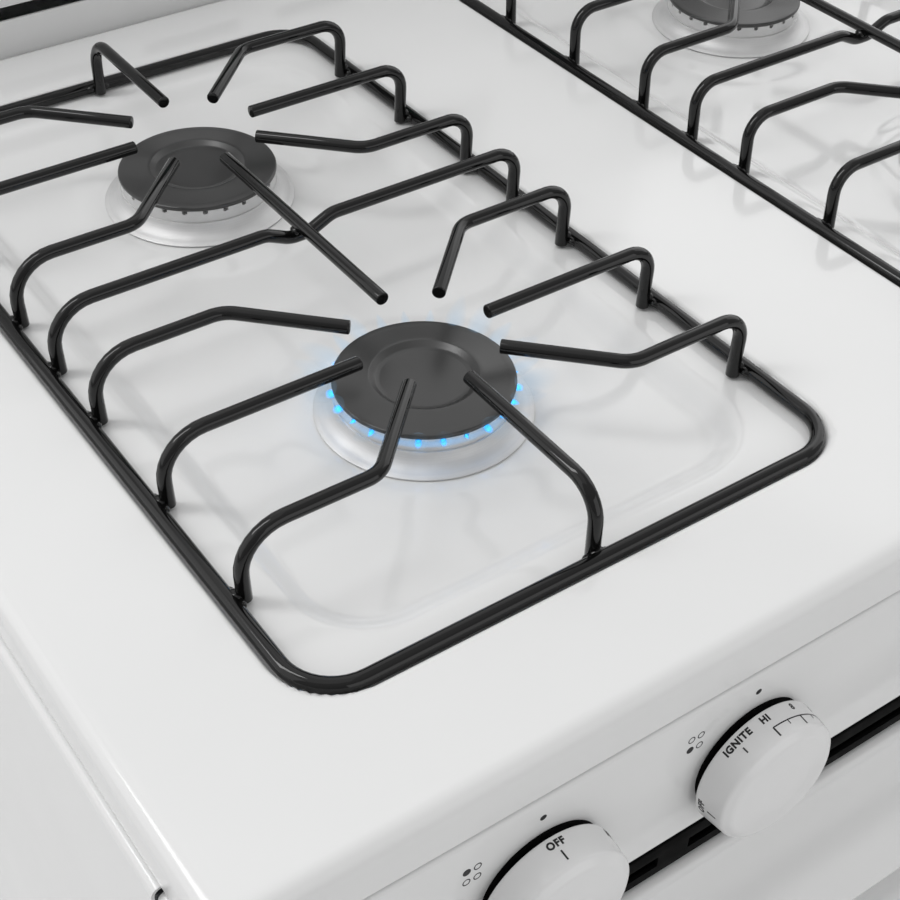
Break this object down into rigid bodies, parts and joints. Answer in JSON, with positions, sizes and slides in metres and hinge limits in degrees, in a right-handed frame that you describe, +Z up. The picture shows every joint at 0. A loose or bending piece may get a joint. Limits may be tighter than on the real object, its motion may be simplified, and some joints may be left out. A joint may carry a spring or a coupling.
{
  "type": "freestanding gas range",
  "caption": "White freestanding gas range with wire grates over sealed burners, front knobs, oven door with window, storage drawer and backguard.",
  "frame": {"origin": "on the floor under the middle of the footprint", "axes": "+Z up, +Y towards the wall behind the range, so the front faces -Y; +X to the right of a person facing it"},
  "size_m": [0.759, 0.6999, 1.185],
  "materials": {
    "white_enamel": "glossy white porcelain enamel on pressed steel",
    "cavity_enamel": "dark grey speckled oven enamel, satin",
    "grate_enamel": "glossy black porcelain enamel on steel rod",
    "cap_enamel": "dark grey satin enamel",
    "burner_aluminium": "turned, fine brushed aluminium",
    "galvanised_steel": "galvanised sheet and tube, dull",
    "rack_chrome": "bright plated wire",
    "valve_brass": "machined brass",
    "knob_plastic": "white moulded plastic, satin gloss",
    "black_plastic": "black moulded plastic",
    "black_glass": "black-printed tempered glass, polished",
    "clear_glass": "clear tempered glass",
    "seal_fibre": "woven glass-fibre seal"
  },
  "bodies": {
    "root": {"cooktop": "white_enamel", "control_panel": "white_enamel", "left_side_panel": "white_enamel", "right_side_panel": "white_enamel", "backguard": "white_enamel", "front_frame": "cavity_enamel", "oven_liner": "cavity_enamel", "oven_floor": "cavity_enamel", "burner_head_left_front": "burner_aluminium", "burner_head_left_rear": "burner_aluminium", "burner_head_right_front": "burner_aluminium", "burner_head_right_rear": "burner_aluminium", "pressure_regulator": "burner_aluminium", "gas_manifold": "galvanised_steel", "rear_panel": "galvanised_steel", "base_frame": "galvanised_steel", "bake_burner": "galvanised_steel", "broil_burner": "galvanised_steel", "door_hinge_left": "galvanised_steel", "door_hinge_right": "galvanised_steel", "drawer_rail_left": "galvanised_steel", "drawer_rail_right": "galvanised_steel", "backguard_cover": "galvanised_steel", "valve_left_rear": "valve_brass", "valve_left_front": "valve_brass", "valve_oven": "valve_brass", "valve_right_front": "valve_brass", "valve_right_rear": "valve_brass", "vent_trim": "black_plastic", "foot_front_left": "black_plastic", "foot_front_right": "black_plastic", "foot_rear_left": "black_plastic", "foot_rear_right": "black_plastic", "clock_panel": "black_glass"},
    "oven_door": {"door_outer_panel": "white_enamel", "door_glass": "black_glass", "door_liner": "cavity_enamel", "door_inner_glass": "clear_glass", "door_handle": "knob_plastic", "door_gasket": "seal_fibre"},
    "storage_drawer": {"drawer_front": "white_enamel", "drawer_box": "galvanised_steel"},
    "left_grate": {"grate_left": "grate_enamel"},
    "right_grate": {"grate_right": "grate_enamel"},
    "lower_rack": {"oven_rack_lower": "rack_chrome"},
    "upper_rack": {"oven_rack_upper": "rack_chrome"},
    "left_front_cap": {"burner_cap_left_front": "cap_enamel"},
    "left_rear_cap": {"burner_cap_left_rear": "cap_enamel"},
    "right_front_cap": {"burner_cap_right_front": "cap_enamel"},
    "right_rear_cap": {"burner_cap_right_rear": "cap_enamel"},
    "left_rear_stem": {"valve_stem_left_rear": "burner_aluminium"},
    "left_rear_knob": {"knob_left_rear": "knob_plastic"},
    "left_front_stem": {"valve_stem_left_front": "burner_aluminium"},
    "left_front_knob": {"knob_left_front": "knob_plastic"},
    "oven_stem": {"valve_stem_oven": "burner_aluminium"},
    "oven_knob": {"knob_oven": "knob_plastic"},
    "right_front_stem": {"valve_stem_right_front": "burner_aluminium"},
    "right_front_knob": {"knob_right_front": "knob_plastic"},
    "right_rear_stem": {"valve_stem_right_rear": "burner_aluminium"},
    "right_rear_knob": {"knob_right_rear": "knob_plastic"}
  },
  "joints": [
    {"name": "oven_door_hinge", "type": "hinge", "parent": "root", "child": "oven_door", "pos_m": [0, -0.28, 0.242], "axis": [1, 0, 0], "range_deg": [0, 88]},
    {"name": "drawer_slide", "type": "slide", "parent": "root", "child": "storage_drawer", "axis": [0, -1, 0], "range_m": [0, 0.38]},
    {"name": "left_grate_lift", "type": "slide", "parent": "root", "child": "left_grate", "axis": [0, 0, 1], "range_m": [0, 0.06]},
    {"name": "right_grate_lift", "type": "slide", "parent": "root", "child": "right_grate", "axis": [0, 0, 1], "range_m": [0, 0.06]},
    {"name": "lower_rack_slide", "type": "slide", "parent": "root", "child": "lower_rack", "axis": [0, -1, 0], "range_m": [0, 0.015]},
    {"name": "upper_rack_slide", "type": "slide", "parent": "root", "child": "upper_rack", "axis": [0, -1, 0], "range_m": [0, 0.015]},
    {"name": "left_front_cap_lift", "type": "slide", "parent": "root", "child": "left_front_cap", "axis": [0, 0, 1], "range_m": [0, 0.01]},
    {"name": "left_rear_cap_lift", "type": "slide", "parent": "root", "child": "left_rear_cap", "axis": [0, 0, 1], "range_m": [0, 0.01]},
    {"name": "right_front_cap_lift", "type": "slide", "parent": "root", "child": "right_front_cap", "axis": [0, 0, 1], "range_m": [0, 0.01]},
    {"name": "right_rear_cap_lift", "type": "slide", "parent": "root", "child": "right_rear_cap", "axis": [0, 0, 1], "range_m": [0, 0.01]},
    {"name": "left_rear_knob_push", "type": "slide", "parent": "root", "child": "left_rear_stem", "axis": [0, 1, 0], "range_m": [0, 0.003], "stiffness_N_per_m": 800, "springref_m": -0.003},
    {"name": "left_rear_knob_turn", "type": "hinge", "parent": "left_rear_stem", "child": "left_rear_knob", "pos_m": [-0.25, -0.29, 0.841], "axis": [0, -1, 0], "range_deg": [0, 270]},
    {"name": "left_front_knob_push", "type": "slide", "parent": "root", "child": "left_front_stem", "axis": [0, 1, 0], "range_m": [0, 0.003], "stiffness_N_per_m": 800, "springref_m": -0.003},
    {"name": "left_front_knob_turn", "type": "hinge", "parent": "left_front_stem", "child": "left_front_knob", "pos_m": [-0.1485, -0.29, 0.841], "axis": [0, -1, 0], "range_deg": [-95, 175]},
    {"name": "oven_knob_push", "type": "slide", "parent": "root", "child": "oven_stem", "axis": [0, 1, 0], "range_m": [0, 0.003], "stiffness_N_per_m": 800, "springref_m": -0.003},
    {"name": "oven_knob_turn", "type": "hinge", "parent": "oven_stem", "child": "oven_knob", "pos_m": [0, -0.29, 0.841], "axis": [0, -1, 0], "range_deg": [0, 270]},
    {"name": "right_front_knob_push", "type": "slide", "parent": "root", "child": "right_front_stem", "axis": [0, 1, 0], "range_m": [0, 0.003], "stiffness_N_per_m": 800, "springref_m": -0.003},
    {"name": "right_front_knob_turn", "type": "hinge", "parent": "right_front_stem", "child": "right_front_knob", "pos_m": [0.1485, -0.29, 0.841], "axis": [0, -1, 0], "range_deg": [0, 270]},
    {"name": "right_rear_knob_push", "type": "slide", "parent": "root", "child": "right_rear_stem", "axis": [0, 1, 0], "range_m": [0, 0.003], "stiffness_N_per_m": 800, "springref_m": -0.003},
    {"name": "right_rear_knob_turn", "type": "hinge", "parent": "right_rear_stem", "child": "right_rear_knob", "pos_m": [0.25, -0.29, 0.841], "axis": [0, -1, 0], "range_deg": [0, 270]}
  ]
}
